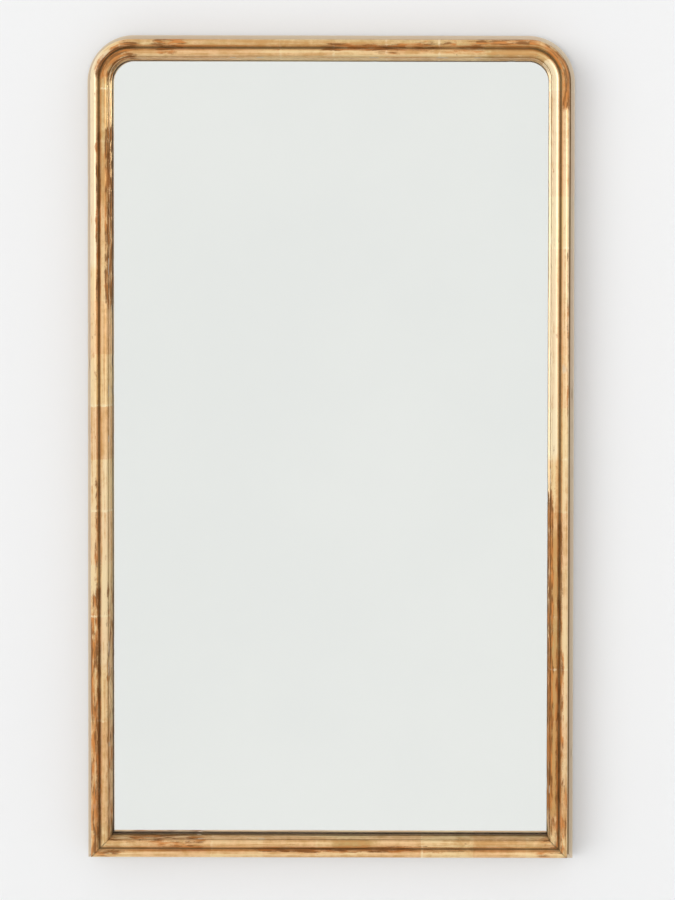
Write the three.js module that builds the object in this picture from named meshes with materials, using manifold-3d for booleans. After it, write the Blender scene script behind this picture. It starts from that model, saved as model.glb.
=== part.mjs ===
// Pier mirror: a tall giltwood mirror with two rounded upper corners and mitred lower corners.
// Sizes are in millimetres. X runs across the mirror and Z up it, and the front looks along -Y.
// The origin lies on the plane of the wall, midway between the pivots of the two hanging rings.
//
// The frame is described in side coordinates: x is the distance in from the outer edge, z the
// height above the underside, and "depth" the distance forward from the wall, so y is -depth.
import * as THREE from "three";
import { mergeVertices } from "three/addons/utils/BufferGeometryUtils.js";
import Module from "manifold-3d";

const wasm = await Module();
wasm.setup();

// ---------------------------------------------------------------- driving dimensions

// The frame as a whole.
const FRAME_WIDTH = 750;
const FRAME_HEIGHT = 1270;
const FRAME_DEPTH = 44; // wall to the crest of the outer roll
const CORNER_RADIUS = 72; // outer edge of the upper corners

// The moulding, member by member from the outer edge to the sight edge.
const BACK_FILLET_WIDTH = 7.6;
const BACK_FILLET_DEPTH = 8;
const BACK_FILLET_ROUND = 1.2;
const FLANK_LEAN = 3.2; // how far the flank leans in between the fillet and the outer roll
const OUTER_ROLL_WIDTH = 10.7;
const OUTER_ROLL_RISE = 6.5;
const OUTER_ROLL_END = 15; // degrees above level where the roll meets the groove
const GROOVE_WIDTH = 4.4;
const GROOVE_DROP = 7.6; // crest of the outer roll down to the floor of the groove
const INNER_ROLL_WIDTH = 10.3;
const INNER_ROLL_RISE = 5.4;
const INNER_ROLL_START = 168; // degrees where the roll rises out of the groove
const INNER_ROLL_DROP = 2.0; // crest of the outer roll down to that of the inner roll
const QUIRK_WIDTH = 1;
const QUIRK_DEPTH = 1.0;
const ARRIS_WIDTH = 0.8;
const COVE_WIDTH = 3;
const COVE_PULL_IN = 0.5; // the point that pulls the cove hollow, in from the arris
const COVE_PULL_UP = 2.3; // and forward of the sight edge
const SIGHT_DROP = 20.4; // crest of the outer roll down to the sight edge
const LIP_THICKNESS = 4.6;

// The rebates at the back.
const LIP_OVERLAP = 9; // what the lip covers of the rebate that holds the mirror plate
const LEDGE_WIDTH = 10; // ledge that the back boards are nailed to

// The joints of the frame.
const MITRE_GAP = 0.3;
const GLUE_LINE = 0.3;
const TENON_WIDTH = 12;
const TENON_THICKNESS = 8;
const TENON_LENGTH = 40;
const TENON_SET_IN = 16.5; // outer edge to the tenon
const TENON_DEPTH = 20; // wall to the back of the tenon
const MORTISE_SPARE = 1;
const KEY_LEG = 25;
const KEY_THICKNESS = 2.4;
const KEY_DEPTH = 10.5; // wall to the back of the key

// The mirror plate and the blocks that hold it.
const GLASS_THICKNESS = 4;
const GLASS_CLEARANCE = 1;
const BLOCK_LENGTH = 60;
const BLOCK_WIDTH = 8;
const BLOCK_FACE = 2; // upright face of the block under its bevel
const BLOCK_BEVEL = 4;
const BLOCK_CLEARANCE = 0.4; // block to back board
const BLOCK_FROM_END = 190; // top or bottom of the frame to the middle of the nearest block on a stile
const RAIL_BLOCK_PLACE = 205; // outer edge of the frame to the middle of a rail's block

// The back boards and their nails.
const BOARD_THICKNESS = 7;
const BOARD_RECESS = 1; // the boards lie this far inside the wall plane
const BOARD_COUNT = 5;
const BOARD_CLEARANCE = 1;
const BOARD_GAP = 1.2;
const NAIL_SHANK_RADIUS = 0.9;
const NAIL_LENGTH = 20;
const NAIL_TIP = 3;
const NAIL_HEAD_RADIUS = 2;
const NAIL_HEAD_THICKNESS = 0.8;
const NAIL_HOLE_CLEARANCE = 0.3;
const NAIL_INSET = 4.5; // wall of the rebate to the middle of the nail
const NAIL_EDGE = 45; // edge of a board to its nails

// The hanging rings, one on the back of each stile.
const RING_DROP = 250; // top of the frame to the pivot of the rings
const ROD_RADIUS = 1.75;
const RING_HALF_WIDTH = 7.8; // middle of the ring to the centre line of its side
const RING_BEND = 2.5; // radius of the two upper bends
const RING_SIDE = 9; // pivot to the centre of the round end
const STRAP_THICKNESS = 1.5;
const STRAP_WIDTH = 9;
const STRAP_LENGTH = 34; // pivot to the round end of the strap
const PIVOT_CLEARANCE = 0.35;
const SCREW_HEIGHTS = [12, 26]; // above the pivot
const SCREW_SHANK_RADIUS = 1.5;
const SCREW_HEAD_RADIUS = 3.4;
const SCREW_HEAD_HEIGHT = 1.4;
const SCREW_LENGTH = 15;
const SCREW_TIP = 4;
const SCREW_CLEARANCE = 0.3;
const SCREW_SLOT_WIDTH = 0.8;
const SCREW_SLOT_DEPTH = 0.5;

// How far a cutting tool reaches past what it cuts.
const OVERREACH = 5;

// How finely the round forms are divided.
const ROLL_STEPS = 11;
const SMALL_ROUND_STEPS = 3;
const CURVE_STEPS = 5;
const CORNER_STEPS = 20; // for each quarter turn
const ROUND_SIDES = 12;
const RING_STEPS = 40;

// Sizes that follow from the ones above.
const RAIL_WIDTH =
  BACK_FILLET_WIDTH +
  FLANK_LEAN +
  OUTER_ROLL_WIDTH +
  GROOVE_WIDTH +
  INNER_ROLL_WIDTH +
  QUIRK_WIDTH +
  ARRIS_WIDTH +
  COVE_WIDTH;
const LIP_BACK = FRAME_DEPTH - SIGHT_DROP - LIP_THICKNESS; // depth of the lip's back face
const GLASS_WALL = RAIL_WIDTH - LIP_OVERLAP;
const BOARD_WALL = GLASS_WALL - LEDGE_WIDTH;
const LEDGE_DEPTH = BOARD_RECESS + BOARD_THICKNESS;
const GLASS_BACK = LIP_BACK - GLASS_THICKNESS;
const STILE_LENGTH = FRAME_HEIGHT - CORNER_RADIUS;
const RING_HEIGHT = FRAME_HEIGHT - RING_DROP;
const BORE_RADIUS = ROD_RADIUS + PIVOT_CLEARANCE;
const EYE_RADIUS = BORE_RADIUS + STRAP_THICKNESS;
const STRAP_MIDDLE = BOARD_WALL / 2; // middle of the flat land on the back of the stile

// ---------------------------------------------------------------- finishes

const gilding = new THREE.MeshStandardMaterial({ color: 0xc99a52, roughness: 0.34, metalness: 0.85 });
const plate = new THREE.MeshStandardMaterial({ color: 0xe4e8e5, roughness: 0.03, metalness: 1.0 });
const pine = new THREE.MeshStandardMaterial({ color: 0x8a6a45, roughness: 0.85, metalness: 0.0 });
const beech = new THREE.MeshStandardMaterial({ color: 0xb08a5c, roughness: 0.8, metalness: 0.0 });
const iron = new THREE.MeshStandardMaterial({ color: 0x4a4440, roughness: 0.6, metalness: 0.9 });

// ---------------------------------------------------------------- cutting and joining

// The geometry as a closed solid that can be cut.
function solidOf(geometry) {
  const bare = geometry.clone();
  bare.deleteAttribute("normal");
  bare.deleteAttribute("uv");
  const merged = mergeVertices(bare, 1e-4);
  return new wasm.Manifold(
    new wasm.Mesh({
      numProp: 3,
      vertProperties: merged.attributes.position.array,
      triVerts: new Uint32Array(merged.index.array),
    }),
  );
}

function geometryOf(solid) {
  const { vertProperties, triVerts } = solid.getMesh();
  const geometry = new THREE.BufferGeometry();
  geometry.setAttribute("position", new THREE.BufferAttribute(vertProperties, 3));
  geometry.setIndex(new THREE.BufferAttribute(triVerts, 1));
  const faceted = geometry.toNonIndexed();
  faceted.computeVertexNormals();
  return faceted;
}

// The geometry with each of the tools taken out of it.
function cut(geometry, tools) {
  return geometryOf(tools.reduce((left, tool) => left.subtract(solidOf(tool)), solidOf(geometry)));
}

function common(geometry, tool) {
  return geometryOf(solidOf(geometry).intersect(solidOf(tool)));
}

// ---------------------------------------------------------------- forms

// An outline drawn across and up the mirror, filled between two depths.
function slab(outline, back, front) {
  const geometry = new THREE.ExtrudeGeometry(outline, {
    depth: front - back,
    bevelEnabled: false,
    curveSegments: CORNER_STEPS,
  });
  return geometry.rotateX(Math.PI / 2).translate(0, -back, 0);
}

function rectangle(left, right, bottom, top) {
  return new THREE.Shape()
    .moveTo(left, bottom)
    .lineTo(right, bottom)
    .lineTo(right, top)
    .lineTo(left, top)
    .closePath();
}

// A straight box between two heights, two depths and two distances across.
function box(left, right, back, front, bottom, top) {
  return slab(rectangle(left, right, bottom, top), back, front);
}

// A hole for a shank that goes forward from a depth.
function bore(radius, x, z, back, front) {
  return new THREE.CylinderGeometry(radius, radius, front - back, ROUND_SIDES).translate(
    x,
    -(back + front) / 2,
    z,
  );
}

// Points of an ellipse between two angles in degrees.
function ellipsePoints(middle, centreDepth, halfWidth, rise, from, to, steps) {
  return Array.from({ length: steps + 1 }, (_, i) => {
    const turn = THREE.MathUtils.degToRad(THREE.MathUtils.lerp(from, to, i / steps));
    return new THREE.Vector2(
      middle + halfWidth * Math.cos(turn),
      centreDepth + rise * Math.sin(turn),
    );
  });
}

// The points of a quadratic curve between two points, without the first one.
function sweepPoints(from, pull, to) {
  return new THREE.QuadraticBezierCurve(from, pull, to).getPoints(CURVE_STEPS).slice(1);
}

// Section of the moulding: x is the distance in from the outer edge, y the depth.
function mouldingPoints() {
  const corner = BACK_FILLET_ROUND;
  const backFillet = [
    new THREE.Vector2(0, 0),
    ...ellipsePoints(corner, BACK_FILLET_DEPTH - corner, corner, corner, 180, 90, SMALL_ROUND_STEPS),
    new THREE.Vector2(BACK_FILLET_WIDTH, BACK_FILLET_DEPTH),
  ];

  const outerStart = BACK_FILLET_WIDTH + FLANK_LEAN;
  const outerRoll = ellipsePoints(
    outerStart + OUTER_ROLL_WIDTH / 2,
    FRAME_DEPTH - OUTER_ROLL_RISE,
    OUTER_ROLL_WIDTH / 2,
    OUTER_ROLL_RISE,
    180,
    OUTER_ROLL_END,
    ROLL_STEPS,
  );

  const innerStart = outerStart + OUTER_ROLL_WIDTH + GROOVE_WIDTH;
  const innerRoll = ellipsePoints(
    innerStart + INNER_ROLL_WIDTH / 2,
    FRAME_DEPTH - INNER_ROLL_DROP - INNER_ROLL_RISE,
    INNER_ROLL_WIDTH / 2,
    INNER_ROLL_RISE,
    INNER_ROLL_START,
    0,
    ROLL_STEPS,
  );

  // The groove is a hollow between the two rolls, and its curve is pulled past its floor.
  const grooveFrom = outerRoll.at(-1);
  const grooveTo = innerRoll[0];
  const grooveFloor = FRAME_DEPTH - GROOVE_DROP;
  const groove = sweepPoints(
    grooveFrom,
    new THREE.Vector2(
      (grooveFrom.x + grooveTo.x) / 2,
      2 * grooveFloor - (grooveFrom.y + grooveTo.y) / 2,
    ),
    grooveTo,
  );

  // A quirk parts the inner roll from an arris, and a cove falls from it to the sight edge.
  const rollFoot = innerRoll.at(-1);
  const quirkFloor = rollFoot.y - QUIRK_DEPTH;
  const arrisStart = rollFoot.x + QUIRK_WIDTH;
  const arrisEnd = new THREE.Vector2(arrisStart + ARRIS_WIDTH, rollFoot.y);
  const sightEdge = new THREE.Vector2(RAIL_WIDTH, FRAME_DEPTH - SIGHT_DROP);
  const cove = sweepPoints(
    arrisEnd,
    new THREE.Vector2(arrisEnd.x + COVE_PULL_IN, sightEdge.y + COVE_PULL_UP),
    sightEdge,
  );

  return [
    ...backFillet,
    ...outerRoll,
    ...groove,
    ...innerRoll.slice(1),
    new THREE.Vector2(rollFoot.x, quirkFloor),
    new THREE.Vector2(arrisStart, quirkFloor),
    new THREE.Vector2(arrisStart, rollFoot.y),
    arrisEnd,
    ...cove,
    new THREE.Vector2(RAIL_WIDTH, LIP_BACK),
    new THREE.Vector2(GLASS_WALL, LIP_BACK),
    new THREE.Vector2(GLASS_WALL, LEDGE_DEPTH),
    new THREE.Vector2(BOARD_WALL, LEDGE_DEPTH),
    new THREE.Vector2(BOARD_WALL, 0),
  ];
}

// A straight length of moulding, standing up with its outer edge at x = 0.
function straightMoulding(length) {
  const geometry = new THREE.ExtrudeGeometry(new THREE.Shape(mouldingPoints()), {
    depth: length,
    bevelEnabled: false,
  });
  return geometry.rotateX(Math.PI).translate(0, 0, length);
}

// What a mitre leaves out of the square lower corner: the part below it, cut from the stile, or
// the part above it, cut from the bottom rail.
function mitreWaste(gap, below) {
  const reach = RAIL_WIDTH + OVERREACH;
  const shift = below ? gap : -gap;
  const outline = new THREE.Shape()
    .moveTo(-OVERREACH, shift - OVERREACH)
    .lineTo(reach, reach + shift)
    .lineTo(below ? reach : -OVERREACH, below ? shift - OVERREACH : reach + shift)
    .closePath();
  return slab(outline, -OVERREACH, FRAME_DEPTH + OVERREACH);
}

// The triangular key across the mitre, or the kerf that it is glued into.
function keyOutline(spare, outer) {
  const leg = BACK_FILLET_WIDTH + KEY_LEG + spare;
  return new THREE.Shape()
    .moveTo(outer, outer)
    .lineTo(leg + BACK_FILLET_WIDTH - outer, outer)
    .lineTo(outer, leg + BACK_FILLET_WIDTH - outer)
    .closePath();
}

// Where the flank is at a depth, in from the outer edge.
function flankAt(depth) {
  const rollFoot = FRAME_DEPTH - OUTER_ROLL_RISE;
  return BACK_FILLET_WIDTH + (FLANK_LEAN * (depth - BACK_FILLET_DEPTH)) / (rollFoot - BACK_FILLET_DEPTH);
}

const keySlot = slab(
  keyOutline(2 * GLUE_LINE, -OVERREACH),
  KEY_DEPTH - GLUE_LINE,
  KEY_DEPTH + KEY_THICKNESS + GLUE_LINE,
);

// A loose tenon lying along Z (upright) or along X, centred on a joint face. A mortise is the
// same form with the glue line round it and some spare at its ends.
function tenon(upright, spare, endSpare) {
  const near = TENON_SET_IN - spare;
  const far = TENON_SET_IN + TENON_WIDTH + spare;
  const reach = TENON_LENGTH / 2 + endSpare;
  const back = TENON_DEPTH - spare;
  const front = TENON_DEPTH + TENON_THICKNESS + spare;
  return upright
    ? box(near, far, back, front, STILE_LENGTH - reach, STILE_LENGTH + reach)
    : box(
        CORNER_RADIUS - reach,
        CORNER_RADIUS + reach,
        back,
        front,
        FRAME_HEIGHT - far,
        FRAME_HEIGHT - near,
      );
}

const stileMortise = tenon(true, GLUE_LINE, MORTISE_SPARE);
const topMortise = tenon(false, GLUE_LINE, MORTISE_SPARE);

// ---------------------------------------------------------------- the frame

// Where the nails of the back boards go: two near each edge of a board, at both of its ends.
const boardOpening = FRAME_HEIGHT - 2 * (BOARD_WALL + BOARD_CLEARANCE);
const boardHeight = (boardOpening - (BOARD_COUNT - 1) * BOARD_GAP) / BOARD_COUNT;
const boardBottoms = Array.from(
  { length: BOARD_COUNT },
  (_, i) => BOARD_WALL + BOARD_CLEARANCE + i * (boardHeight + BOARD_GAP),
);
const nailHeights = boardBottoms.flatMap((z) => [
  z + NAIL_EDGE,
  Math.min(z + boardHeight - NAIL_EDGE, STILE_LENGTH - TENON_LENGTH / 2 - NAIL_HEAD_RADIUS),
]);
const nailPlace = BOARD_WALL + NAIL_INSET;
const nailHoleRadius = NAIL_SHANK_RADIUS + NAIL_HOLE_CLEARANCE;
const nailHoleEnd = BOARD_RECESS + NAIL_LENGTH + NAIL_HOLE_CLEARANCE;

function nailHoles(x) {
  return nailHeights.map((z) => bore(nailHoleRadius, x, z, -OVERREACH, nailHoleEnd));
}

function stile() {
  const screwHoles = SCREW_HEIGHTS.map((height) =>
    bore(
      SCREW_SHANK_RADIUS + SCREW_CLEARANCE,
      STRAP_MIDDLE,
      RING_HEIGHT + height,
      -OVERREACH,
      SCREW_LENGTH,
    ),
  );
  return cut(straightMoulding(STILE_LENGTH), [
    mitreWaste(MITRE_GAP / Math.SQRT2, true),
    keySlot,
    stileMortise,
    ...nailHoles(nailPlace),
    ...screwHoles,
  ]);
}

// The moulding turned round the centre of the corner, of which a quarter is kept.
function cornerBlock() {
  const section = mouldingPoints().map(({ x, y }) => new THREE.Vector2(CORNER_RADIUS - x, y));
  const ring = new THREE.LatheGeometry([...section, section[0]], 4 * CORNER_STEPS)
    .rotateX(Math.PI)
    .translate(CORNER_RADIUS, 0, STILE_LENGTH);
  const quarter = box(
    -OVERREACH,
    CORNER_RADIUS,
    -OVERREACH,
    FRAME_DEPTH + OVERREACH,
    STILE_LENGTH,
    FRAME_HEIGHT + OVERREACH,
  );
  return cut(common(ring, quarter), [stileMortise, topMortise]);
}

// A mirrored copy of a cutting tool for the far end of a rail.
function atFarEnd(tool) {
  const solid = solidOf(tool).mirror([1, 0, 0]).translate([FRAME_WIDTH, 0, 0]);
  return geometryOf(solid);
}

function topRail() {
  const length = FRAME_WIDTH - 2 * CORNER_RADIUS;
  const rail = straightMoulding(length)
    .rotateY(Math.PI / 2)
    .translate(CORNER_RADIUS, 0, FRAME_HEIGHT);
  return cut(rail, [topMortise, atFarEnd(topMortise)]);
}

function bottomRail() {
  const waste = mitreWaste(MITRE_GAP / Math.SQRT2, false);
  const rail = straightMoulding(FRAME_WIDTH).rotateY(-Math.PI / 2).translate(FRAME_WIDTH, 0, 0);
  return cut(rail, [waste, atFarEnd(waste), keySlot, atFarEnd(keySlot)]);
}

// ---------------------------------------------------------------- the plate and what holds it

function mirrorPlate() {
  const edge = GLASS_WALL + GLASS_CLEARANCE;
  const radius = CORNER_RADIUS - edge;
  const right = FRAME_WIDTH - edge;
  const outline = new THREE.Shape()
    .moveTo(edge, edge)
    .lineTo(right, edge)
    .lineTo(right, STILE_LENGTH)
    .absarc(right - radius, STILE_LENGTH, radius, 0, Math.PI / 2, false)
    .lineTo(edge + radius, STILE_LENGTH + radius)
    .absarc(edge + radius, STILE_LENGTH, radius, Math.PI / 2, Math.PI, false)
    .closePath();
  return slab(outline, GLASS_BACK, LIP_BACK);
}

// A glue block with a bevelled inner edge, standing up against the wall of the plate's rebate.
function glazingBlock() {
  const back = LEDGE_DEPTH + BLOCK_CLEARANCE;
  const section = new THREE.Shape()
    .moveTo(0, back)
    .lineTo(BLOCK_WIDTH - BLOCK_BEVEL, back)
    .lineTo(BLOCK_WIDTH, GLASS_BACK - BLOCK_FACE)
    .lineTo(BLOCK_WIDTH, GLASS_BACK)
    .lineTo(0, GLASS_BACK)
    .closePath();
  const geometry = new THREE.ExtrudeGeometry(section, { depth: BLOCK_LENGTH, bevelEnabled: false });
  return geometry.rotateX(Math.PI).translate(0, 0, BLOCK_LENGTH / 2);
}

// One board across the back. The uppermost one has its two upper corners rounded.
function backBoard(index) {
  const left = BOARD_WALL + BOARD_CLEARANCE;
  const right = FRAME_WIDTH - left;
  const bottom = boardBottoms[index];
  const top = bottom + boardHeight;
  const radius = CORNER_RADIUS - left;
  const outline = new THREE.Shape().moveTo(left, bottom).lineTo(right, bottom);
  if (index === BOARD_COUNT - 1) {
    outline
      .lineTo(right, top - radius)
      .absarc(right - radius, top - radius, radius, 0, Math.PI / 2, false)
      .lineTo(left + radius, top)
      .absarc(left + radius, top - radius, radius, Math.PI / 2, Math.PI, false);
  } else {
    outline.lineTo(right, top).lineTo(left, top);
  }
  outline.closePath();
  const holes = [nailPlace, FRAME_WIDTH - nailPlace].flatMap((x) =>
    nailHeights
      .slice(2 * index, 2 * index + 2)
      .map((z) => bore(nailHoleRadius, x, z, -OVERREACH, LEDGE_DEPTH + OVERREACH)),
  );
  return cut(slab(outline, BOARD_RECESS, LEDGE_DEPTH), holes);
}

// ---------------------------------------------------------------- fasteners and hanging rings

// A nail or a screw is turned round Y, with its point forward and its head at y = 0.
function turned(points) {
  return new THREE.LatheGeometry(
    points.map(([radius, y]) => new THREE.Vector2(radius, y)),
    ROUND_SIDES,
  );
}

function boardNail() {
  return turned([
    [0, -NAIL_LENGTH],
    [NAIL_SHANK_RADIUS, NAIL_TIP - NAIL_LENGTH],
    [NAIL_SHANK_RADIUS, 0],
    [NAIL_HEAD_RADIUS, 0],
    [NAIL_HEAD_RADIUS, NAIL_HEAD_THICKNESS / 2],
    [0, NAIL_HEAD_THICKNESS],
  ]);
}

function strapScrew() {
  const body = turned([
    [0, -SCREW_LENGTH],
    [SCREW_SHANK_RADIUS, SCREW_TIP - SCREW_LENGTH],
    [SCREW_SHANK_RADIUS, -SCREW_HEAD_HEIGHT],
    [SCREW_HEAD_RADIUS, 0],
    [0, 0],
  ]);
  const half = SCREW_SLOT_WIDTH / 2;
  const slot = box(-OVERREACH, OVERREACH, -OVERREACH, SCREW_SLOT_DEPTH, -half, half);
  return cut(body, [slot]);
}

// An iron strap whose lower end is rolled into an eye. The pivot is at z = 0.
function ringStrap() {
  const leaveTurn = Math.acos((STRAP_THICKNESS - EYE_RADIUS) / EYE_RADIUS);
  const section = new THREE.Shape()
    .moveTo(0, STRAP_LENGTH)
    .lineTo(0, 0)
    .absarc(EYE_RADIUS, 0, EYE_RADIUS, Math.PI, 2 * Math.PI + leaveTurn, false)
    .lineTo(STRAP_THICKNESS, STRAP_LENGTH)
    .closePath();
  section.holes.push(new THREE.Path().absarc(EYE_RADIUS, 0, BORE_RADIUS, 0, 2 * Math.PI, true));
  const folded = new THREE.ExtrudeGeometry(section, {
    depth: STRAP_WIDTH,
    bevelEnabled: false,
    curveSegments: ROUND_SIDES,
  });
  // The section lies in the plane of Y and Z, and its length runs along X.
  const across = new THREE.Vector3(0, 1, 0);
  const up = new THREE.Vector3(0, 0, 1);
  const along = new THREE.Vector3(1, 0, 0);
  folded.applyMatrix4(new THREE.Matrix4().makeBasis(across, up, along));
  folded.translate(-STRAP_WIDTH / 2, 0, 0);

  const half = STRAP_WIDTH / 2;
  const tongue = new THREE.Shape()
    .moveTo(-half, -EYE_RADIUS - OVERREACH)
    .lineTo(half, -EYE_RADIUS - OVERREACH)
    .lineTo(half, STRAP_LENGTH - half)
    .absarc(0, STRAP_LENGTH - half, half, 0, Math.PI, false)
    .closePath();
  const rounded = common(folded, slab(tongue, -2 * EYE_RADIUS - OVERREACH, OVERREACH));

  // Countersunk holes that keep the clearance round the cone and the shank of each screw.
  const sink = turned([
    [0, -OVERREACH],
    [SCREW_SHANK_RADIUS + SCREW_CLEARANCE, -OVERREACH],
    [SCREW_SHANK_RADIUS + SCREW_CLEARANCE, -SCREW_HEAD_HEIGHT],
    [SCREW_HEAD_RADIUS + SCREW_CLEARANCE, 0],
    [SCREW_HEAD_RADIUS + SCREW_CLEARANCE, OVERREACH],
    [0, OVERREACH],
  ]);
  return cut(
    rounded,
    SCREW_HEIGHTS.map((height) => sink.clone().translate(0, STRAP_THICKNESS, height)),
  );
}

// The centre line of a D-shaped ring in the plane of X and Z, with its straight leg at z = 0.
class RingLine extends THREE.Curve {
  constructor() {
    super();
    const w = RING_HALF_WIDTH;
    const bend = RING_BEND;
    this.outline = new THREE.Path()
      .moveTo(bend - w, 0)
      .lineTo(w - bend, 0)
      .absarc(w - bend, -bend, bend, Math.PI / 2, 0, true)
      .lineTo(w, -RING_SIDE)
      .absarc(0, -RING_SIDE, w, 0, -Math.PI, true)
      .lineTo(-w, -bend)
      .absarc(bend - w, -bend, bend, Math.PI, Math.PI / 2, true);
  }

  getPoint(t, target = new THREE.Vector3()) {
    const { x, y } = this.outline.getPointAt(t);
    return target.set(x, 0, y);
  }
}

function hangingRing() {
  return new THREE.TubeGeometry(new RingLine(), RING_STEPS, ROD_RADIUS, ROUND_SIDES, true);
}

// ---------------------------------------------------------------- assembly

function piece(name, geometry, material, x = 0, y = 0, z = 0) {
  const mesh = new THREE.Mesh(geometry, material);
  mesh.name = name;
  mesh.position.set(x, y, z);
  return mesh;
}

const stileGeometry = stile();
const cornerGeometry = cornerBlock();
const blockGeometry = glazingBlock();
const nailGeometry = boardNail();
const screwGeometry = strapScrew();
const strapGeometry = ringStrap();
const ringGeometry = hangingRing();
const keyFront = KEY_DEPTH + KEY_THICKNESS;
const keyGeometry = slab(keyOutline(0, flankAt(keyFront)), KEY_DEPTH, keyFront);

// One side of the mirror, as seen on the left. The right side is its mirror image.
function mirrorSide(side) {
  const group = new THREE.Group();
  group.add(
    piece(`${side}_stile`, stileGeometry, gilding),
    piece(`${side}_corner_block`, cornerGeometry, gilding),
    piece(`${side}_stile_tenon`, tenon(true, 0, 0), beech),
    piece(`${side}_top_rail_tenon`, tenon(false, 0, 0), beech),
    piece(`${side}_mitre_key`, keyGeometry, beech),
  );

  const blockHeights = [BLOCK_FROM_END, FRAME_HEIGHT / 2, FRAME_HEIGHT - BLOCK_FROM_END];
  blockHeights.forEach((height, i) => {
    group.add(piece(`${side}_glazing_block_${i + 1}`, blockGeometry, pine, GLASS_WALL, 0, height));
  });
  const lower = piece(`${side}_bottom_glazing_block`, blockGeometry, pine);
  lower.position.set(RAIL_BLOCK_PLACE, 0, GLASS_WALL);
  lower.rotation.y = -Math.PI / 2;
  const upper = piece(`${side}_top_glazing_block`, blockGeometry, pine);
  upper.position.set(RAIL_BLOCK_PLACE, 0, FRAME_HEIGHT - GLASS_WALL);
  upper.rotation.y = Math.PI / 2;
  group.add(lower, upper);

  nailHeights.forEach((height, i) => {
    group.add(piece(`${side}_board_nail_${i + 1}`, nailGeometry, iron, nailPlace, -BOARD_RECESS, height));
  });

  const hanger = new THREE.Group();
  hanger.position.set(STRAP_MIDDLE, 0, RING_HEIGHT);
  hanger.add(
    piece(`${side}_ring_strap`, strapGeometry, iron),
    piece(`${side}_hanging_ring`, ringGeometry, iron, 0, EYE_RADIUS, 0),
  );
  SCREW_HEIGHTS.forEach((height, i) => {
    hanger.add(piece(`${side}_strap_screw_${i + 1}`, screwGeometry, iron, 0, STRAP_THICKNESS, height));
  });
  group.add(hanger);
  return group;
}

const leftSide = mirrorSide("left");
const rightSide = mirrorSide("right");
rightSide.position.x = FRAME_WIDTH;
rightSide.scale.x = -1;

const mirror = new THREE.Group();
mirror.add(leftSide, rightSide);
mirror.add(
  piece("top_rail", topRail(), gilding),
  piece("bottom_rail", bottomRail(), gilding),
  piece("mirror_plate", mirrorPlate(), plate),
);
for (let i = 0; i < BOARD_COUNT; i++) {
  mirror.add(piece(`back_board_${i + 1}`, backBoard(i), pine));
}

// From side coordinates to the part's own frame.
mirror.position.set(-FRAME_WIDTH / 2, 0, -RING_HEIGHT);

const pierMirror = new THREE.Group();
pierMirror.add(mirror);

export default pierMirror;
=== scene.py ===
"""Looks of a pier mirror: worn giltwood frame, old silvered plate, boarded back and hanging rings.

Sizes are in metres. X runs across the mirror, Z up it, and the front faces -Y. The wall is the
plane y = 0, and the pivots of the two hanging rings are at z = 0.
"""

import bmesh
import bpy
from math import atan2, cos, hypot, pi, radians, sin
from mathutils import Matrix, Quaternion, Vector, noise


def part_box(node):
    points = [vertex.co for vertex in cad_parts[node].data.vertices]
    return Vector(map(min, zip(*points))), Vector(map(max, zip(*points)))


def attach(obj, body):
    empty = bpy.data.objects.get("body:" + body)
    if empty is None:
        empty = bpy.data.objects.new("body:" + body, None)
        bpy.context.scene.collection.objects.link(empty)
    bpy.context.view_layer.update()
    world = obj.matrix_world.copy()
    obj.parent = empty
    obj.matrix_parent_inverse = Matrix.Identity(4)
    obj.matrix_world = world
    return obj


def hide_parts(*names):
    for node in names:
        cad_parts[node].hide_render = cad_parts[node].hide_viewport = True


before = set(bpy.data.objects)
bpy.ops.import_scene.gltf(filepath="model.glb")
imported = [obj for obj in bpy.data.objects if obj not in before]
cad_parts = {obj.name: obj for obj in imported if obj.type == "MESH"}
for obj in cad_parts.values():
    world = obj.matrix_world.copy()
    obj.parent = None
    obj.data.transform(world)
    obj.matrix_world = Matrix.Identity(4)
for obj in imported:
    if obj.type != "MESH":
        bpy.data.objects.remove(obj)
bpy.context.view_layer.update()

# ---------------------------------------------------------------- stiles
# The two upright sides of the frame are lengths of pine, run to a moulding of two rolls parted by
# a groove, with a fine quirk and a cove at the sight edge. They are coated with gesso and
# red-brown bole, and water-gilded with square leaves of gold. Their backs are bare wood.

HALF_WIDTH = 0.375
TOP = 0.250
UNDERSIDE = -1.020
SPRING = 0.178  # height where the rounded corners spring from the stiles
CORNER_RADIUS = 0.072
CREST_DEPTH = 0.044  # wall to the crest of the outer roll
FILLET_DEPTH = 0.0080  # wall to the flat back fillet
GROOVE_DROP = 0.0072  # crest to the bottom of the groove
RAIL_WIDTH = 0.041  # outer edge to the sight edge
SIGHT_DEPTH = 0.0234  # wall to the front of the lip
LIP_BACK = 0.019
REBATE_SIDE = 0.0320  # outer edge to the side of the rebate
LEDGE_DEPTH = 0.0080  # wall to the ledge that the boards are nailed to
LAND_WIDTH = 0.0220  # flat back of a rail, from its outer edge
MITRE_GAP = 0.0003
STEP = 0.002  # one step of the sweep along a moulding

GOLD_WARM = (0.92, 0.60, 0.31, 1)  # leaf that shows the bole through it
GOLD_YELLOW = (0.93, 0.70, 0.37, 1)  # leaf with more silver in it
GOLD_DEEP = (0.66, 0.36, 0.13, 1)
GOLD_CREAM_AND_HIGHLIGHT = (1.00, 0.87, 0.62, 1)  # pale leaf, for the laps of the leaf and for painted highlights
GOLD_OLIVE_AND_SHADE = (0.50, 0.33, 0.11, 1)  # leaf under old varnish, and painted shade on the top rail
BOLE = (0.62, 0.235, 0.055, 1)
BOLE_DARK = (0.25, 0.092, 0.018, 1)
# brown glaze: dirt in the opened mitres, and dirt and painted shade in the hollows
GLAZE_AND_SHADE = (0.115, 0.064, 0.018, 1)
DULL_EDGE = (0.70, 0.60, 0.47, 1)  # the flat back fillet, where dust has settled
GESSO = (0.72, 0.60, 0.44, 1)
OLD_WOOD = (0.20, 0.125, 0.07, 1)
OLD_WOOD_PALE = (0.36, 0.25, 0.15, 1)

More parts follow.
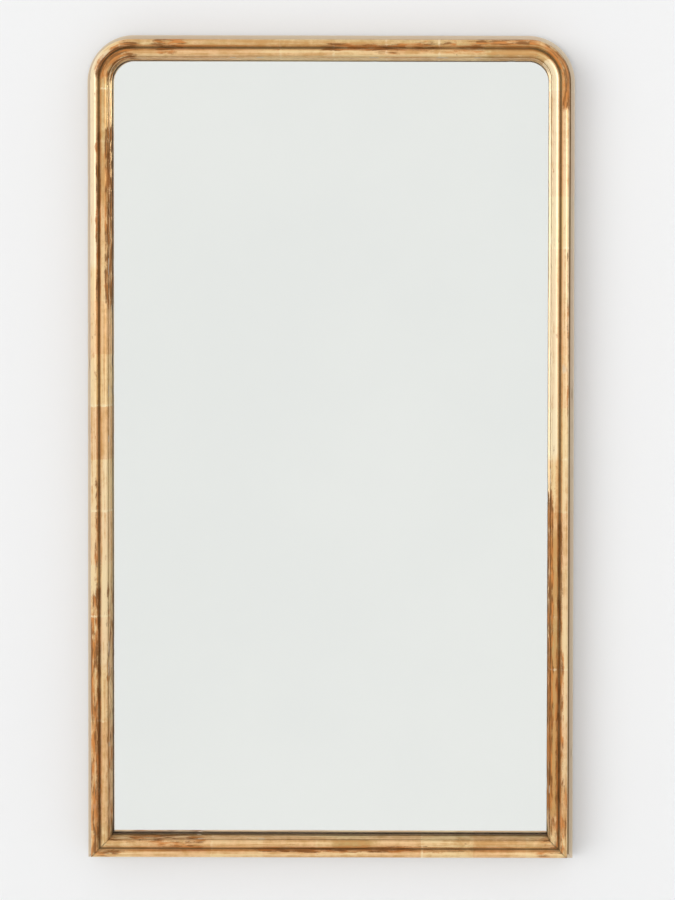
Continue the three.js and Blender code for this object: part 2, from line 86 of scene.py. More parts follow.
LEAF_PITCH = 0.0803  # from one lap of the leaf to the next
STILE_LAP = 0.7826  # a lap on the stiles, above the underside of the frame
# Each side starts at another leaf, so that none repeats the tones of another.
FIRST_LEAF = {"left": 20 * LEAF_PITCH, "right": 60 * LEAF_PITCH, "bottom": 100 * LEAF_PITCH}


def arc(middle, centre, half_width, rise, start, end, steps):
    """Points of an elliptical roll, each as distance in from the outer edge and depth."""
    turns = [radians(start + (end - start) * i / steps) for i in range(steps + 1)]
    return [(middle + half_width * cos(t), centre + rise * sin(t)) for t in turns]


def hollow(start, pull, end, steps):
    """Points of a hollow between two points, pulled towards a third."""
    found = []
    for i in range(steps + 1):
        t = i / steps
        a, b, c = (1 - t) ** 2, 2 * t * (1 - t), t * t
        found.append(tuple(a * p + b * q + c * r for p, q, r in zip(start, pull, end)))
    return found


# The section goes round from the outer back corner over the front to the back. Each stretch has
# its points, how far it stands out to be rubbed, its dirt and painted shade, and how sharp it is.
outer_roll = arc(0.01645, 0.0375, 0.00565, 0.0065, 180, 12, 28)
inner_roll = arc(0.03150, 0.0366, 0.00610, 0.0054, 168, 0, 24)
groove_pull = (
    (outer_roll[-1][0] + inner_roll[0][0]) / 2,
    2 * (CREST_DEPTH - GROOVE_DROP) - (outer_roll[-1][1] + inner_roll[0][1]) / 2,
)
groove = hollow(outer_roll[-1], groove_pull, inner_roll[0], 8)
foot = inner_roll[-1]
arris = (foot[0] + 0.0012, foot[1] - 0.0004)
cove = hollow(arris, (0.0392, 0.0262), (RAIL_WIDTH, SIGHT_DEPTH), 10)
STRETCHES = [
    ([(0, 0), (0, 0.0022), (0, 0.0045), (0, 0.0062)], 0.2, 0.0, 0.3),
    (arc(0.0012, 0.0068, 0.0012, 0.0012, 180, 90, 5), 0.9, 0.0, 1.0),
    ([(w, FILLET_DEPTH) for w in (0.0025, 0.0045, 0.0056)], 0.1, 0.15, 0.0),
    ([(w, FILLET_DEPTH) for w in (0.0065, 0.0076)], 0.0, 1.25, 0.0),
    ([(0.0078, 0.0100), (0.0083, 0.0145), (0.0090, 0.0210)], 0.0, 1.2, 0.0),
    ([(0.0098, 0.0283), (0.0104, 0.0340)], 0.0, 0.7, 0.0),
    (outer_roll[:5], 0.2, 0.1, 0.0),
    (outer_roll[5:24], 0.7, 0.0, 0.1),
    (outer_roll[24:], 0.1, 0.15, 0.0),
    (groove[1:2], 0.0, 0.7, 0.0),
    (groove[2:-2], 0.0, 1.4, 0.0),
    (groove[-2:-1], 0.0, 0.7, 0.0),
    (inner_roll[:3], 0.0, 0.15, 0.0),
    (inner_roll[3:21], 0.6, 0.0, 0.1),
    (inner_roll[21:], 0.0, 0.2, 0.0),
    ([(foot[0], foot[1] - 0.0008), (foot[0] + 0.0005, foot[1] - 0.0008)], 0.0, 1.1, 0.0),
    ([(foot[0] + 0.0005, foot[1] - 0.0004), (foot[0] + 0.0007, foot[1] - 0.0002)], 0.8, 0.2, 1.0),
    ([(foot[0] + 0.0010, foot[1] - 0.0002), arris], 0.8, 0.0, 1.0),
    (cove[1:6], 0.1, 0.15, 0.0),
    (cove[6:-1], 0.1, 0.45, 0.0),
    ([(RAIL_WIDTH, SIGHT_DEPTH), (RAIL_WIDTH, 0.0215)], 0.4, 0.2, 0.6),
]
BACK_STRETCH = [
    (RAIL_WIDTH, LIP_BACK),
    (REBATE_SIDE, LIP_BACK),
    (REBATE_SIDE, LEDGE_DEPTH),
    (LAND_WIDTH, LEDGE_DEPTH),
    (LAND_WIDTH, 0.0),
]
SECTION = [(w, d, crest, dirt_and_shade, edge) for points, crest, dirt_and_shade, edge in STRETCHES for w, d in points]
GILDED_POINTS = len(SECTION)
SECTION += [(w, d, 0, 0, 0) for w, d in BACK_STRETCH]

# Places rubbed through to the bole: across, up the mirror, in from the outer edge, how far.
RUBBED = [
    ((-0.375, -0.33), (-1.00, -0.61), (0.0108, 0.0220), 0.85),
    ((-0.375, -0.33), (-0.98, -0.60), (0.0195, 0.0262), 0.85),
    ((-0.375, -0.33), (-0.60, -0.44), (0.0190, 0.0262), 0.60),
    ((-0.375, -0.33), (-1.00, -0.60), (0.0365, 0.0410), 0.55),
    ((-0.375, -0.33), (-0.16, 0.09), (0.0212, 0.0265), 0.80),
    ((-0.375, -0.33), (-0.16, 0.10), (0.0345, 0.0410), 0.85),
    ((-0.375, -0.33), (-0.39, -0.18), (0.0110, 0.0230), 0.20),
    ((-0.30, -0.26), (-1.02, -0.97), (0.0360, 0.0410), 0.80),
    ((-0.256, -0.20), (-1.02, -0.97), (0.0240, 0.0410), 0.62),
    ((-0.10, 0.11), (-1.02, -0.97), (0.0205, 0.0270), 0.90),
    ((0.11, 0.22), (-1.02, -0.97), (0.0215, 0.0265), 0.60),
    ((0.05, 0.16), (-1.02, -0.97), (0.0200, 0.0300), 0.50),
    ((0.33, 0.375), (-0.98, -0.50), (0.0210, 0.0265), 0.85),
    ((0.33, 0.375), (-0.93, -0.70), (0.0180, 0.0290), 0.75),
    ((0.33, 0.375), (-0.93, -0.46), (0.0345, 0.0410), 1.00),
    ((0.33, 0.375), (-1.02, -0.90), (0.0105, 0.0410), 0.58),
    ((0.33, 0.375), (-0.33, -0.09), (0.0105, 0.0135), 0.60),
    ((0.33, 0.375), (-0.49, -0.39), (0.0260, 0.0365), 0.25),
    ((0.335, 0.375), (0.14, 0.235), (0.0085, 0.0215), 1.00),
    ((-0.355, -0.30), (0.185, 0.25), (0.0170, 0.0400), 0.85),
    ((-0.26, -0.23), (0.20, 0.25), (0.0100, 0.0260), 0.85),
    ((-0.26, -0.24), (0.20, 0.25), (0.0270, 0.0340), 0.65),
    ((0.00, 0.11), (0.20, 0.25), (0.0185, 0.0275), 0.90),
    ((0.08, 0.095), (0.20, 0.25), (0.0270, 0.0340), 0.65),
    ((0.13, 0.23), (0.20, 0.25), (0.0120, 0.0300), 0.55),
    ((0.23, 0.34), (0.20, 0.25), (0.0090, 0.0185), 0.95),
]

# Places where the leaf is painted pale as highlights, above 0, or dull, below 0. The dull places
# are partly old varnish and partly painted shade, as on the top rail.
HIGHLIGHT_OR_DULL = [
    ((-0.375, -0.33), (-0.10, 0.21), (0.0108, 0.0205), 0.95),
    ((-0.375, -0.33), (-0.71, -0.40), (0.0260, 0.0370), 0.45),
    ((-0.375, -0.33), (-0.61, -0.10), (0.0108, 0.0205), 0.35),
    ((-0.375, -0.33), (0.00, 0.20), (0.0260, 0.0370), -0.40),
    ((0.33, 0.375), (-0.39, 0.20), (0.0262, 0.0400), 0.80),
    ((0.33, 0.375), (-0.90, -0.20), (0.0108, 0.0200), 0.30),
    ((0.33, 0.375), (-0.20, 0.13), (0.0108, 0.0210), 0.50),
    ((0.33, 0.375), (-0.71, -0.52), (0.0262, 0.0370), -0.60),
    ((0.33, 0.375), (-0.93, -0.71), (0.0262, 0.0400), -0.95),
    ((-0.30, 0.24), (0.20, 0.25), (0.0080, 0.0220), -0.35),
    ((0.24, 0.345), (0.20, 0.25), (0.0190, 0.0400), -0.45),
    ((0.016, 0.058), (-1.02, -0.97), (0.0260, 0.0370), -0.70),
    ((0.20, 0.33), (-1.02, -0.97), (0.0260, 0.0400), -0.30),
    ((-0.36, -0.30), (-1.02, -0.95), (0.0260, 0.0400), -0.25),
]

# Places where the hollows are darker, above 0, or lighter, below 0. The first lies just past the
# sight edge, so that only the lip of the bottom rail takes it.
HOLLOW_DARKENING = [
    ((-0.34, 0.34), (-1.02, -0.97), (0.0418, 0.0420), 1.60),
    ((-0.34, 0.34), (-1.02, -0.97), (0.0220, 0.0255), -0.35),
    ((0.02, 0.30), (0.20, 0.25), (0.0220, 0.0255), -0.50),
    ((-0.31, 0.31), (0.20, 0.25), (0.0378, 0.0410), -0.45),
]


def inside(value, low, high, soft):
    """1 between two limits, falling to 0 over a soft edge outside them."""
    off = max(low - value, value - high, 0)
    return max(0.0, 1 - off / soft)


def state_at(place, across, places):
    """How strongly a list of places marks one point of the frame."""
    most = 0.0
    for (x0, x1), (z0, z1), (w0, w1), amount in places:
        if x0 - 0.02 < place.x < x1 + 0.02 and z0 - 0.02 < place.z < z1 + 0.02:
            here = inside(place.x, x0, x1, 0.02) * inside(place.z, z0, z1, 0.02)
            here *= amount * inside(across, w0, w1, 0.002)
            most = here if abs(here) > abs(most) else most
    return most


def as_object(bm, name):
    """The built mesh as an object of the scene."""
    mesh = bpy.data.meshes.new(name)
    bm.to_mesh(mesh)
    bm.free()
    piece = bpy.data.objects.new(name, mesh)
    bpy.context.scene.collection.objects.link(piece)
    return piece


SECTION_MIDDLE = (0.022, 0.020)  # in from the outer edge, and depth
SHRINKAGE = 0.00016
TOOL_MARKS = 0.00005
CHIP_DEPTH = 0.0030


def carved_length(name, put, inward, along, run=None, turn=None, mitres=()):
    """One piece of the frame: the section put in place, run out or turned, mitred and worn."""
    bm = bmesh.new()
    marks = {n: bm.verts.layers.float.new(n) for n in ("girth", "across", "crest", "dirt_and_shade", "edge")}
    ring, girth, last = [], 0.0, None
    for i, (w, d, crest, dirt_and_shade, edge) in enumerate(SECTION):
        if last:
            girth += hypot(w - last[0], d - last[1])
        last = (w, d)
        vert = bm.verts.new(put(w, d))
        for layer, value in zip(marks.values(), (girth, w, crest, dirt_and_shade, edge)):
            vert[layer] = value
        ring.append(vert)
        if i == GILDED_POINTS - 1:
            gilded_girth = girth
    outline = [bm.edges.new(pair) for pair in zip(ring, ring[1:] + ring[:1])]
    if turn:
        bmesh.ops.spin(bm, geom=ring + outline, **turn)
    else:
        far_end = bmesh.ops.extrude_edge_only(bm, edges=outline)["geom"]
        bmesh.ops.translate(bm, vec=run, verts=[v for v in far_end if type(v) is bmesh.types.BMVert])
        lengths = [e for v in ring for e in v.link_edges if e not in outline]
        bmesh.ops.subdivide_edges(
            bm, edges=lengths, cuts=round(Vector(run).length / STEP) - 1, use_grid_fill=True
        )
    for point, away in mitres:
        parts = bm.verts[:] + bm.edges[:] + bm.faces[:]
        bmesh.ops.bisect_plane(bm, geom=parts, plane_co=point, plane_no=away, clear_outer=True)
    swept = len(bm.faces)
    bmesh.ops.holes_fill(bm, edges=[e for e in bm.edges if e.is_boundary], sides=0)
    bmesh.ops.recalc_face_normals(bm, faces=bm.faces)

    # Shrinkage, the carver's hand and small losses at the edges all lie inside the true section.
    loss = bm.verts.layers.float.new("loss")
    rub = bm.verts.layers.float.new("rub")
    highlight_and_dullness = bm.verts.layers.float.new("highlight_and_dullness")
    for vert in bm.verts:
        place, across = vert.co.copy(), vert[marks["across"]]
        towards = inward(place) * (SECTION_MIDDLE[0] - across)
        towards += Vector((0, -place.y - SECTION_MIDDLE[1], 0))
        towards.normalize()
        uneven = SHRINKAGE * (1 + noise.noise(place * 11))
        uneven += TOOL_MARKS * (1 + noise.noise(place * 60))
        chip = max(0.0, noise.noise(place * 38 + Vector((3, 1, 7))) - 0.40) * vert[marks["edge"]]
        vert.co += towards * (uneven + CHIP_DEPTH * chip)
        vert[loss] = min(1.0, 9 * chip)
        vert[rub] = state_at(place, across, RUBBED)
        # Painted highlights, and dull leaf that is partly painted shade, from their table of places.
        vert[highlight_and_dullness] = state_at(place, across, HIGHLIGHT_OR_DULL)
        vert[marks["dirt_and_shade"]] += state_at(place, across, HOLLOW_DARKENING)

    bm.faces.ensure_lookup_table()
    sheet = bm.loops.layers.uv.new("leaf")
    whole = girth + LAND_WIDTH  # once round the section
    for number, face in enumerate(bm.faces):
        girths = [v[marks["girth"]] for v in face.verts]
        wraps = max(girths) - min(girths) > whole / 2
        bare = number >= swept or wraps or max(girths) > gilded_girth + 1e-6
        face.material_index = 1 if bare else 0
        face.smooth = True
        for loop in face.loops:
            round_it = loop.vert[marks["girth"]]
            if wraps and round_it < whole / 2:
                round_it += whole
            loop[sheet].uv = (along(loop.vert.co), round_it)
    for edge in bm.edges:
        edge.smooth = not (edge.is_manifold and edge.calc_face_angle() > radians(35))
    return as_object(bm, name)


def new_finish(name):
    """A material, its node tree and its shader."""
    material = bpy.data.materials.new(name)
    material.use_nodes = True
    return material, material.node_tree, material.node_tree.nodes["Principled BSDF"]


def feed(tree, socket, value):
    """Gives a socket a number or a colour, or joins another node to it."""
    if isinstance(value, bpy.types.NodeSocket):
        tree.links.new(value, socket)
    else:
        socket.default_value = value


def node(tree, kind, sockets, output, **settings):
    """One shader node with its settings and what feeds it, given by the output it is wanted for."""
    made = tree.nodes.new("ShaderNode" + kind)
    for name, value in settings.items():
        setattr(made, name, value)
    for name, value in sockets.items():
        feed(tree, made.inputs[name], value)
    return made.outputs[output]


def calc(tree, operation, a, b=0.0, c=0.0):
    return node(tree, "Math", {0: a, 1: b, 2: c}, 0, operation=operation)


def soft_step(tree, value, low, high):
    """0 below low and 1 above high, with a smooth change between them."""
    sockets = {"Value": value, "From Min": low, "From Max": high}
    return node(tree, "MapRange", sockets, "Result", interpolation_type="SMOOTHSTEP")


def between(tree, share, a, b, mode="MIX"):
    """A colour mixed from two."""
    sockets = {0: share, 6: a, 7: b}
    return node(tree, "Mix", sockets, 2, data_type="RGBA", blend_type=mode)


def stretched(tree, vector, scale, shift=(0, 0, 0)):
    return node(tree, "Mapping", {"Vector": vector, "Scale": scale, "Location": shift}, 0)


def mottle(tree, vector, scale, detail=3.0, roughness=0.5, distortion=0.0):
    """Even mottling between 0 and 1."""
    sockets = {
        "Vector": vector,
        "Scale": scale,
        "Detail": detail,
        "Roughness": roughness,
        "Distortion": distortion,
    }
    return node(tree, "TexNoise", sockets, "Fac")


def mark(tree, name):
    """The value that the mesh carries under a name."""
    return node(tree, "Attribute", {}, "Fac", attribute_name=name)


def gilding_finish():
    """Burnished leaf with painted highlights, rubbed to the bole on what stands out, and dirty and
    painted in shade in what lies deep.
    """
    material, tree, shader = new_finish("water_gilding")
    sheet = node(tree, "UVMap", {}, "UV", uv_map="leaf")
    place = node(tree, "TexCoord", {}, "Object")
    run = node(tree, "SeparateXYZ", {0: sheet}, 0)

    # The leaves: each has its own tone, and a bright ragged line where two of them overlap.
    ragged = calc(tree, "MULTIPLY_ADD", mottle(tree, place, 240, 3), 0.0045, run)
    leaves = calc(tree, "DIVIDE", ragged, LEAF_PITCH)
    leaf_tone = node(
        tree, "TexWhiteNoise", {"W": calc(tree, "FLOOR", leaves)}, "Value", noise_dimensions="1D"
    )
    in_leaf = calc(tree, "FRACT", leaves)
    lap_start = soft_step(tree, in_leaf, 0.000, 0.008)
    lap_end = soft_step(tree, in_leaf, 0.034, 0.052)
    lap = calc(tree, "SUBTRACT", lap_start, lap_end)
    lap = calc(tree, "MULTIPLY", lap, soft_step(tree, leaf_tone, 0.15, 0.95))

    # Strokes of the burnisher and of cloths run lengthwise.
    strokes = mottle(tree, stretched(tree, sheet, (22, 620, 1)), 1.0, 4, 0.6)
    long_strokes = mottle(tree, stretched(tree, sheet, (4.5, 190, 1), (4, 0, 0)), 1.0, 3, 0.5)
    clouds = mottle(tree, place, 16, 4, 0.6)
    patches = mottle(tree, place, 85, 4, 0.6)
    specks = mottle(tree, place, 380, 5, 0.65)
    blots = mottle(tree, stretched(tree, sheet, (36, 150, 1), (9, 2, 0)), 1.0, 3, 0.55, 0.3)
    stains = mottle(tree, stretched(tree, sheet, (26, 210, 1), (2, 8, 0)), 1.0, 3, 0.55, 0.3)
    hue = calc(tree, "MULTIPLY_ADD", leaf_tone, 0.20, calc(tree, "MULTIPLY", clouds, 0.45))
    hue = calc(tree, "MULTIPLY_ADD", long_strokes, 0.35, hue)
    gold = between(tree, soft_step(tree, hue, 0.38, 0.60), GOLD_WARM, GOLD_YELLOW)
    highlight_and_dullness = mark(tree, "highlight_and_dullness")
    # Painted highlights: the leaf turns pale cream where the mark is above 0.
    gold = between(tree, calc(tree, "MULTIPLY", soft_step(tree, highlight_and_dullness, 0, 1), 0.65), gold, GOLD_CREAM_AND_HIGHLIGHT)
    # Old varnish and painted shade: the leaf turns dull olive in patches and where the mark is below 0.
    dull_and_shaded = calc(tree, "MULTIPLY_ADD", patches, -0.8, calc(tree, "MULTIPLY_ADD", highlight_and_dullness, -1.0, 0.4))
    gold = between(tree, calc(tree, "MULTIPLY", soft_step(tree, dull_and_shaded, 0.0, 0.8), 0.9), gold, GOLD_OLIVE_AND_SHADE)
    tone = calc(tree, "MULTIPLY", leaf_tone, 0.05)
    tone = calc(tree, "MULTIPLY_ADD", long_strokes, 0.50, tone)
    tone = calc(tree, "MULTIPLY_ADD", strokes, 0.30, tone)
    tone = calc(tree, "MULTIPLY_ADD", patches, 0.30, tone)
    tone = calc(tree, "MULTIPLY_ADD", highlight_and_dullness, 0.10, tone)
    gold = between(tree, soft_step(tree, tone, 0.42, 0.64), GOLD_DEEP, gold)
    kept = soft_step(tree, patches, 0.40, 0.60)
    lap = calc(tree, "MULTIPLY", lap, kept)
    gold = between(tree, calc(tree, "MULTIPLY", lap, 0.5), gold, GOLD_CREAM_AND_HIGHLIGHT)

    # Where the leaf is rubbed away, in streaks and flecks.
    crest, dirt_and_shade = mark(tree, "crest"), mark(tree, "dirt_and_shade")
    patch = calc(tree, "MULTIPLY", patches, 0.18)
    patch = calc(tree, "MULTIPLY_ADD", blots, 0.56, patch)
    patch = calc(tree, "MULTIPLY_ADD", strokes, 0.12, patch)
    patch = calc(tree, "MULTIPLY_ADD", specks, 0.14, patch)
    patch = calc(tree, "MULTIPLY_ADD", mark(tree, "rub"), 0.20, patch)
    patch = calc(tree, "MULTIPLY_ADD", crest, 0.012, patch)
    patch = calc(tree, "MULTIPLY_ADD", lap, -0.06, patch)
    worn = soft_step(tree, patch, 0.57, 0.71)
    bole = between(tree, soft_step(tree, stains, 0.42, 0.58), BOLE_DARK, BOLE)
    colour = between(tree, calc(tree, "MULTIPLY", worn, 0.92), gold, bole)
    fillet = soft_step(tree, mark(tree, "across"), 0.0066, 0.0056)
    colour = between(tree, calc(tree, "MULTIPLY", fillet, 0.85), colour, DULL_EDGE)

    # Brown glaze and dust in the hollows, and painted shade: the deeper hollows are painted darker.
    depth = calc(tree, "MULTIPLY_ADD", clouds, 0.5, dirt_and_shade)
    depth = calc(tree, "MULTIPLY_ADD", strokes, 0.3, depth)
    glazed_and_shaded = calc(tree, "MULTIPLY", soft_step(tree, depth, 0.65, 1.45), 0.85)
    colour = between(tree, glazed_and_shaded, colour, GLAZE_AND_SHADE)

    # Chips down to the gesso.
    chipped = soft_step(tree, mark(tree, "loss"), 0.25, 0.6)
    colour = between(tree, chipped, colour, GESSO)

    # The mitres at the two lower corners have opened, and dirt sits in them.
    across, up = (node(tree, "SeparateXYZ", {0: place}, axis) for axis in ("X", "Z"))
    from_side = calc(tree, "SUBTRACT", HALF_WIDTH, calc(tree, "ABSOLUTE", across))
    from_foot = calc(tree, "SUBTRACT", up, UNDERSIDE)
    mitre = calc(tree, "ABSOLUTE", calc(tree, "SUBTRACT", from_side, from_foot))
    mitre = calc(tree, "MULTIPLY_ADD", specks, 0.0012, mitre)
    opened = calc(tree, "SUBTRACT", 1.0, soft_step(tree, mitre, 0.0009, 0.0030))
    opened = calc(tree, "MULTIPLY", opened, soft_step(tree, patches, 0.35, 0.60))
    colour = between(tree, calc(tree, "MULTIPLY", opened, 0.55), colour, GLAZE_AND_SHADE)

    bare = calc(tree, "MAXIMUM", calc(tree, "MAXIMUM", worn, glazed_and_shaded), chipped)
    bare = calc(tree, "MAXIMUM", bare, calc(tree, "MULTIPLY", fillet, 0.8))
    bare = calc(tree, "MAXIMUM", bare, opened)
    feed(tree, shader.inputs["Base Color"], colour)
    feed(tree, shader.inputs["Metallic"], calc(tree, "MULTIPLY_ADD", bare, -0.45, 0.68))
    shader.inputs["Specular IOR Level"].default_value = 0.25
    rough = calc(tree, "MULTIPLY_ADD", strokes, 0.16, 0.34)
    feed(tree, shader.inputs["Roughness"], calc(tree, "MULTIPLY_ADD", bare, 0.22, rough))

    height = calc(tree, "MULTIPLY", specks, 0.00010)
    height = calc(tree, "MULTIPLY_ADD", strokes, 0.00010, height)
    height = calc(tree, "MULTIPLY_ADD", clouds, 0.0007, height)
    height = calc(tree, "MULTIPLY_ADD", lap, 0.00003, height)
    height = calc(tree, "MULTIPLY_ADD", worn, -0.00004, height)
    bump = node(tree, "Bump", {"Height": height, "Distance": 1.0, "Strength": 1.0}, "Normal")
    feed(tree, shader.inputs["Normal"], bump)
    return material


def bare_wood_finish():
    """Unfinished pine on the back of the frame, dark with age and dust."""
    material, tree, shader = new_finish("bare_back_wood")
    sheet = node(tree, "UVMap", {}, "UV", uv_map="leaf")
    place = node(tree, "TexCoord", {}, "Object")
    grain = mottle(tree, stretched(tree, sheet, (7, 620, 1)), 1.0, 5, 0.62, 0.4)
    stains = mottle(tree, place, 9, 4, 0.6)
    fibres = mottle(tree, stretched(tree, sheet, (60, 2600, 1)), 1.0, 3, 0.5)
    tone = calc(tree, "MULTIPLY_ADD", stains, 0.6, calc(tree, "MULTIPLY", grain, 0.7))
    colour = between(tree, soft_step(tree, tone, 0.40, 0.95), OLD_WOOD, OLD_WOOD_PALE)
    colour = between(tree, calc(tree, "MULTIPLY", fibres, 0.25), colour, OLD_WOOD)
    feed(tree, shader.inputs["Base Color"], colour)
    feed(tree, shader.inputs["Roughness"], calc(tree, "MULTIPLY_ADD", grain, 0.2, 0.66))
    height = calc(tree, "MULTIPLY_ADD", grain, 0.00025, calc(tree, "MULTIPLY", fibres, 0.00006))
    bump = node(tree, "Bump", {"Height": height, "Distance": 1.0}, "Normal")
    feed(tree, shader.inputs["Normal"], bump)
    return material


water_gilding = gilding_finish()
back_wood = bare_wood_finish()


def gild(piece):
    """Gives a length of the frame its gold, and its bare wood behind."""
    piece.data.materials.append(water_gilding)
    piece.data.materials.append(back_wood)


SIDES = {"left": -1, "right": 1}
mitre_half = MITRE_GAP / 2**0.5
for side, sign in SIDES.items():
    stile = carved_length(
        f"{side}_gilded_stile",
        put=lambda w, d: (sign * (HALF_WIDTH - w), -d, UNDERSIDE),
        run=(0, 0, SPRING - UNDERSIDE),
        inward=lambda p: Vector((-sign, 0, 0)),
        along=lambda p: p.z - UNDERSIDE - STILE_LAP + FIRST_LEAF[side],
        mitres=[((sign * HALF_WIDTH, 0, UNDERSIDE + mitre_half), (-sign, 0, -1))],
    )
    gild(stile)
    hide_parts(f"{side}_stile")
    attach(stile, "frame")

# ---------------------------------------------------------------- corner blocks
# The rounded upper corners are turned from blocks of pine, worked to the same moulding and gilded
# with it. Each is glued to the stile and to the top rail, with a loose tenon in each joint.

MIDDLE_OF_MOULDING = 0.050  # radius of the corner at the middle of the moulding
CORNER_STEPS = 56
stile_top = SPRING - UNDERSIDE - STILE_LAP

for side, sign in SIDES.items():
    centre = Vector((sign * (HALF_WIDTH - CORNER_RADIUS), 0, SPRING))
    corner = carved_length(
        f"{side}_gilded_corner",
        put=lambda w, d: (sign * (HALF_WIDTH - w), -d, SPRING),
        turn={
            "cent": centre,
            "axis": (0, -sign, 0),
            "angle": pi / 2,
            "steps": CORNER_STEPS,
            "dvec": (0, 0, 0),
        },
        inward=lambda p: Vector((centre.x - p.x, 0, centre.z - p.z)).normalized(),
        along=lambda p: (
            stile_top
            + FIRST_LEAF[side]
            + MIDDLE_OF_MOULDING * atan2(p.z - centre.z, sign * (p.x - centre.x))
        ),
    )
    gild(corner)
    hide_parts(f"{side}_corner_block")
    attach(corner, "frame")

# ---------------------------------------------------------------- top rail
# The top rail is a straight length of the same gilded moulding between the two corner blocks.

HALF_TOP_RAIL = HALF_WIDTH - CORNER_RADIUS
corner_end = stile_top + FIRST_LEAF["left"] + MIDDLE_OF_MOULDING * pi / 2
top_rail = carved_length(
    "gilded_top_rail",
    put=lambda w, d: (-HALF_TOP_RAIL, -d, TOP - w),
    run=(2 * HALF_TOP_RAIL, 0, 0),
    inward=lambda p: Vector((0, 0, -1)),
    along=lambda p: corner_end + p.x + HALF_TOP_RAIL,
)
gild(top_rail)
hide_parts("top_rail")
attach(top_rail, "frame")

# ---------------------------------------------------------------- bottom rail
# The bottom rail is the same moulding, mitred to the stiles at both of its ends.

BOTTOM_LAP = -0.0182  # a lap of the leaf on the bottom rail, across the mirror
bottom_rail = carved_length(
    "gilded_bottom_rail",
    put=lambda w, d: (-HALF_WIDTH, -d, UNDERSIDE + w),
    run=(2 * HALF_WIDTH, 0, 0),
    inward=lambda p: Vector((0, 0, 1)),
    along=lambda p: p.x - BOTTOM_LAP + FIRST_LEAF["bottom"],
    mitres=[
        ((sign * HALF_WIDTH, 0, UNDERSIDE - mitre_half), (sign, 0, 1)) for sign in SIDES.values()
    ],
)
gild(bottom_rail)
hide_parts("bottom_rail")
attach(bottom_rail, "frame")

# ---------------------------------------------------------------- tenons and mitre keys
# The loose tenons in the upper joints and the triangular keys across the mitres are planed beech.
# They are glued in, and only the edges of the keys show, on the outer flanks of the frame.

BEECH = (0.50, 0.33, 0.18, 1)
BEECH_DARK = (0.36, 0.21, 0.10, 1)


def beech_finish():
    """Close-grained beech with the short dark flecks of its rays."""
    material, tree, shader = new_finish("planed_beech")
    place = node(tree, "TexCoord", {}, "Object")
    grain = mottle(tree, stretched(tree, place, (90, 90, 6)), 1.0, 4, 0.6, 0.3)
    flecks = mottle(tree, stretched(tree, place, (700, 700, 160)), 1.0, 2, 0.4)
    colour = between(tree, soft_step(tree, grain, 0.3, 0.7), BEECH, BEECH_DARK)
    colour = between(tree, soft_step(tree, flecks, 0.60, 0.70), colour, BEECH_DARK)
    feed(tree, shader.inputs["Base Color"], colour)
    feed(tree, shader.inputs["Roughness"], calc(tree, "MULTIPLY_ADD", grain, 0.2, 0.5))
    height = calc(tree, "MULTIPLY", grain, 0.00008)
    bump = node(tree, "Bump", {"Height": height, "Distance": 1.0}, "Normal")
    feed(tree, shader.inputs["Normal"], bump)
    return material


def dress(names, finish):
    """Gives pieces that keep their own shape a finish."""
    for name in names:
        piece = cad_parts[name]
        piece.data.materials.clear()
        piece.data.materials.append(finish)


beech = beech_finish()
for side in SIDES:
    dress([f"{side}_{n}" for n in ("stile_tenon", "top_rail_tenon", "mitre_key")], beech)

# ---------------------------------------------------------------- mirror plate
# The plate is old glass 4 mm thick, silvered on its back, with rounded upper corners. It lies in
# the rebate behind the lip. The silvering is a thin layer with faint clouds in it.

GLASS_FRONT = 0.019
GLASS_BACK = 0.0151
SILVER_FRONT = 0.01508
SILVER_BACK = 0.0150
PLATE_INSET = 0.033  # outer edge of the frame to the edge of the plate
PLATE_SIDE = HALF_WIDTH - PLATE_INSET
PLATE_TOP = TOP - PLATE_INSET
PLATE_FOOT = UNDERSIDE + PLATE_INSET
PLATE_ROUND = CORNER_RADIUS - PLATE_INSET

SILVER = (0.965, 0.970, 0.950, 1)
SILVER_CLOUD = (0.945, 0.952, 0.935, 1)
LIFTED = (0.45, 0.40, 0.33, 1)
GLASS_TINT = (0.985, 0.995, 0.988, 1)


def flat_plate(name, back, front):
    """A flat plate of the mirror's outline, between two depths from the wall."""
    bm = bmesh.new()
    bmesh.ops.create_cube(bm, size=1.0)
    size = (2 * PLATE_SIDE, front - back, PLATE_TOP - PLATE_FOOT)
    middle = (0, -(front + back) / 2, (PLATE_TOP + PLATE_FOOT) / 2)
    bmesh.ops.scale(bm, vec=size, verts=bm.verts)
    bmesh.ops.translate(bm, vec=middle, verts=bm.verts)
    upright = [
        e
        for e in bm.edges
        if all(v.co.z > 0 for v in e.verts) and abs(e.verts[0].co.x - e.verts[1].co.x) < 1e-6
    ]
    bmesh.ops.bevel(
        bm,
        geom=upright,
        offset=PLATE_ROUND,
        offset_type="OFFSET",
        segments=24,
        profile=0.5,
        affect="EDGES",
        material=-1,
    )
    return as_object(bm, name)


def silver_finish():
    """Silvering with faint clouds, and a few specks where it has lifted from the glass."""
    material, tree, shader = new_finish("old_silvering")
    place = node(tree, "TexCoord", {}, "Object")
    clouds = mottle(tree, place, 2.6, 3, 0.5)
    lifted = mottle(tree, place, 190, 3, 0.6)
    lifted = soft_step(tree, calc(tree, "MULTIPLY_ADD", clouds, 0.10, lifted), 0.86, 0.90)
    colour = between(tree, soft_step(tree, clouds, 0.35, 0.65), SILVER, SILVER_CLOUD)
    colour = between(tree, lifted, colour, LIFTED)
    feed(tree, shader.inputs["Base Color"], colour)
    feed(tree, shader.inputs["Metallic"], calc(tree, "MULTIPLY_ADD", lifted, -0.7, 1.0))
    feed(tree, shader.inputs["Roughness"], calc(tree, "MULTIPLY_ADD", lifted, 0.4, 0.012))
    return material


